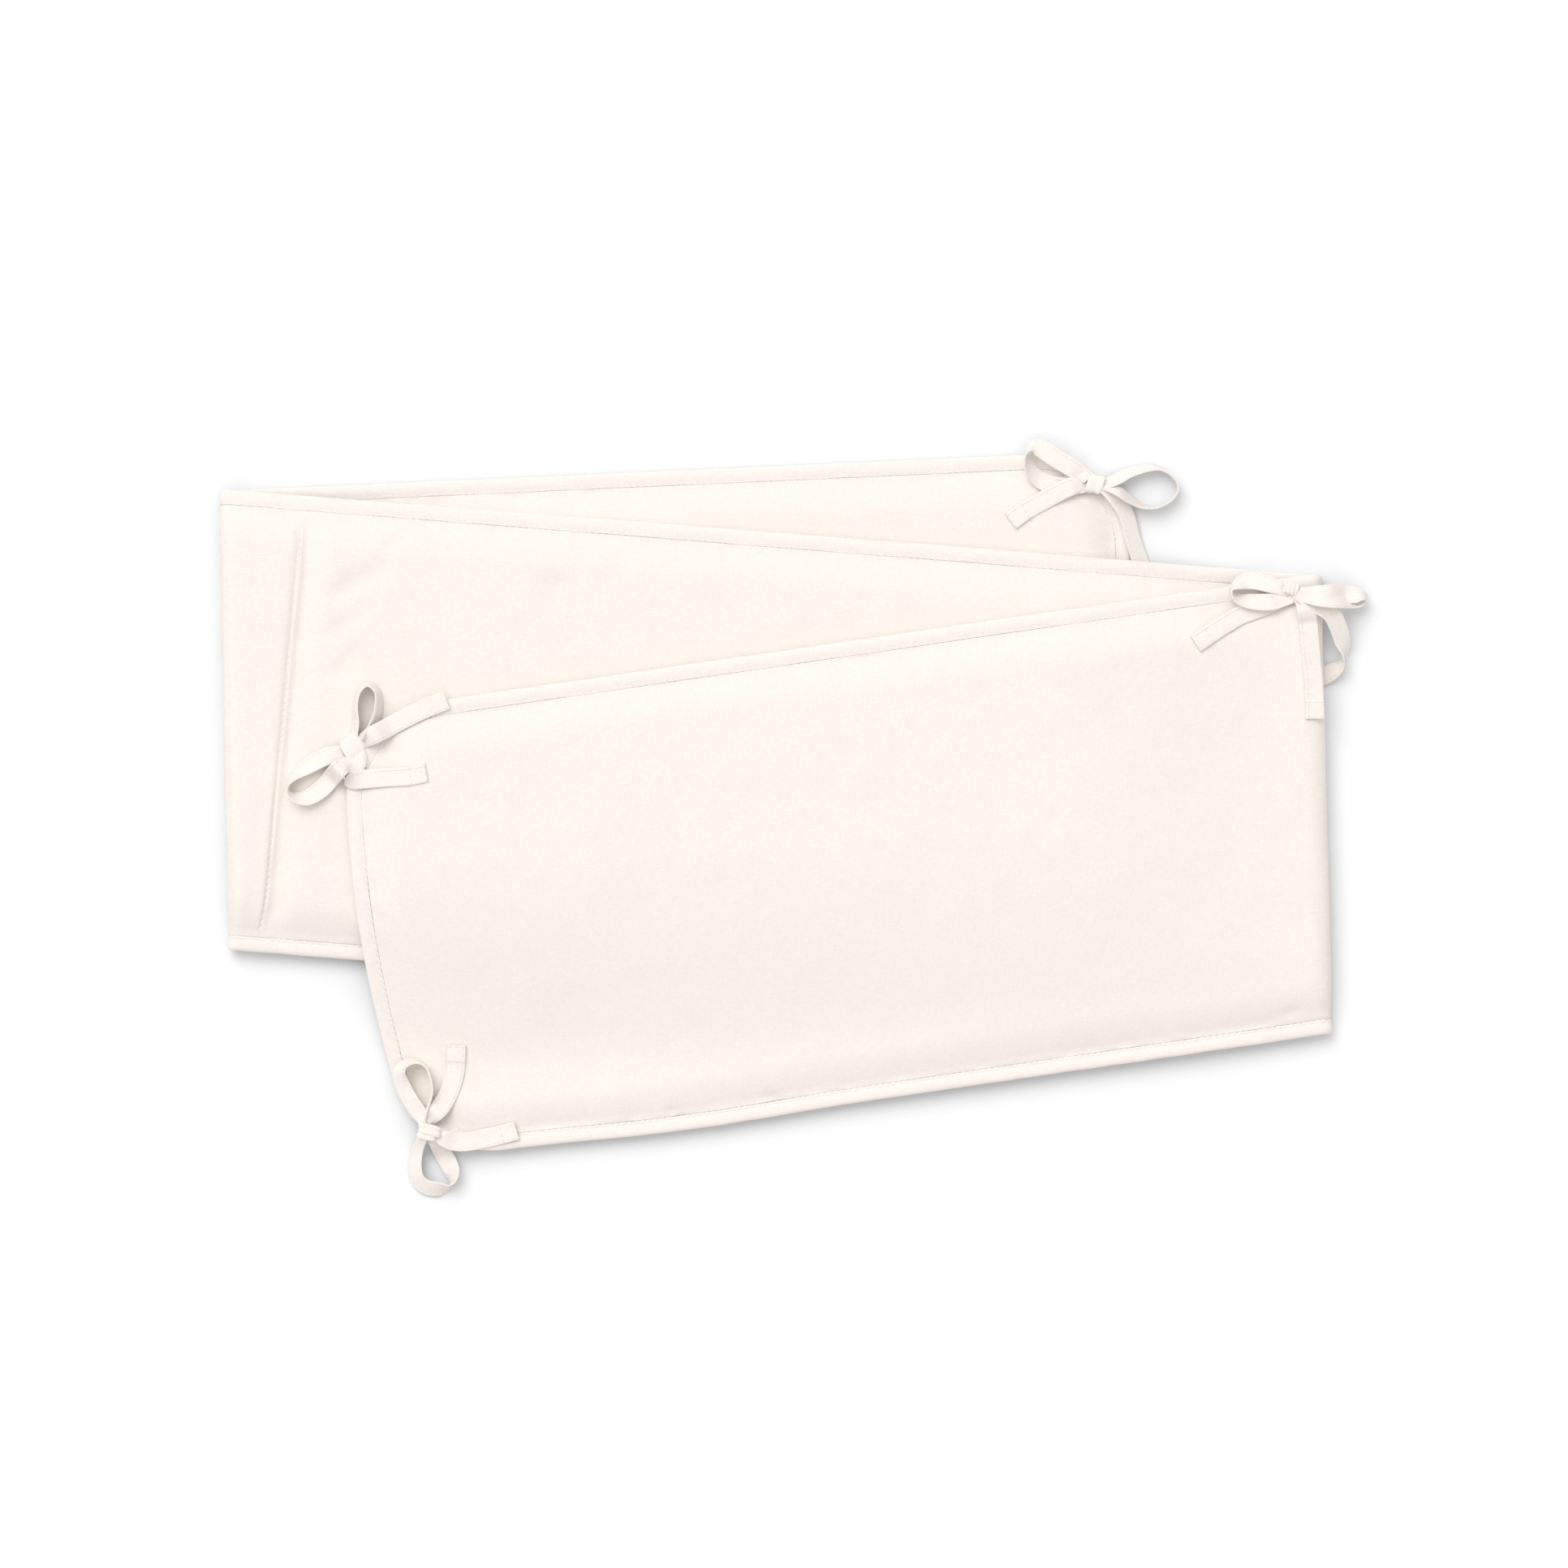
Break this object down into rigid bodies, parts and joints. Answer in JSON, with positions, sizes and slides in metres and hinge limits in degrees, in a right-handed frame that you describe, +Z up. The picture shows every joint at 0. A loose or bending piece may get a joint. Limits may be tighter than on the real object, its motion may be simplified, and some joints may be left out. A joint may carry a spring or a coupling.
{
  "type": "crib bumper",
  "caption": "Long padded cotton strip with bound edges and tape ties, folded in three and lying flat; it lines the inside of a crib's rails.",
  "frame": {"origin": "on the surface that it lies on, under the middle of the folded bumper", "axes": "+X along the strip from the left fold to the right fold, +Y towards the upper long edge as seen from above, +Z up through the layers"},
  "size_m": [0.7564, 0.4967, 0.0382],
  "materials": {
    "cotton": "matte",
    "tape": "matte"
  },
  "bodies": {
    "root": {"pad": "cotton", "binding": "cotton", "bow_back_right": "tape", "bow_fold_right": "tape", "bow_front_left_top": "tape", "bow_front_left_bottom": "tape", "tie_hidden_corner": "tape"}
  },
  "joints": []
}
